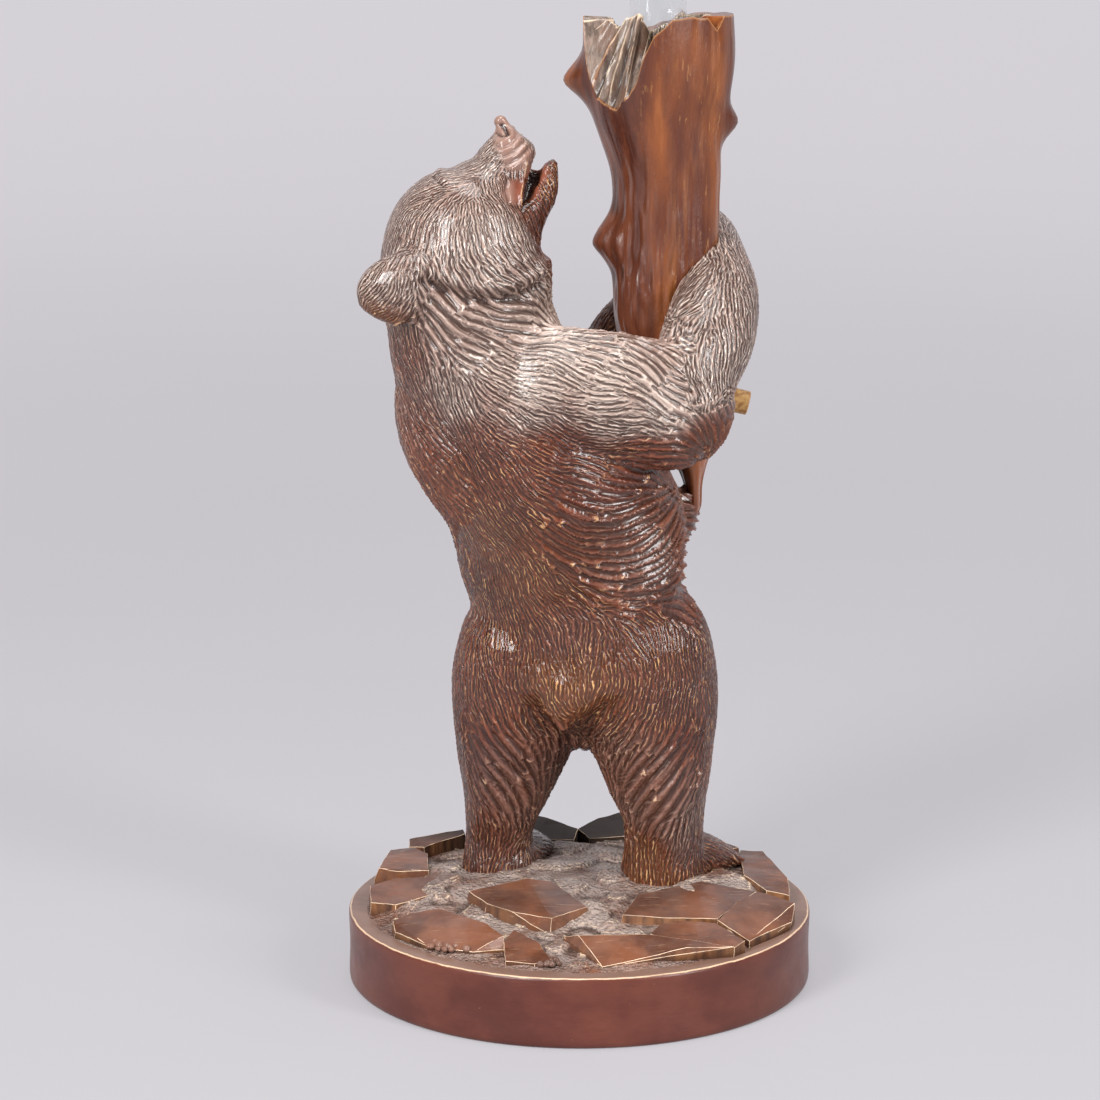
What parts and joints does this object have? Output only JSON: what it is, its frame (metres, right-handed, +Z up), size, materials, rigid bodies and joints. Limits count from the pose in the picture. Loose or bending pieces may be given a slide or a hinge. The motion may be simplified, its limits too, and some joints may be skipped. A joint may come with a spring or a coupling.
{
  "type": "carved bear vase holder",
  "caption": "Carved wooden bear standing on a round rocky plinth, head thrown back, hugging a broken hollow tree trunk that holds a clear glass tube vase.",
  "frame": {"origin": "middle of the plinth's flat underside", "axes": "+Z up; +X to the right and +Y away for a viewer who stands behind the bear"},
  "size_m": [0.151, 0.151, 0.3725],
  "materials": {
    "stained_wood": "satin",
    "clear_glass": "polished"
  },
  "bodies": {
    "root": {"carved_bear": "stained_wood", "glass_vase": "clear_glass"}
  },
  "joints": []
}
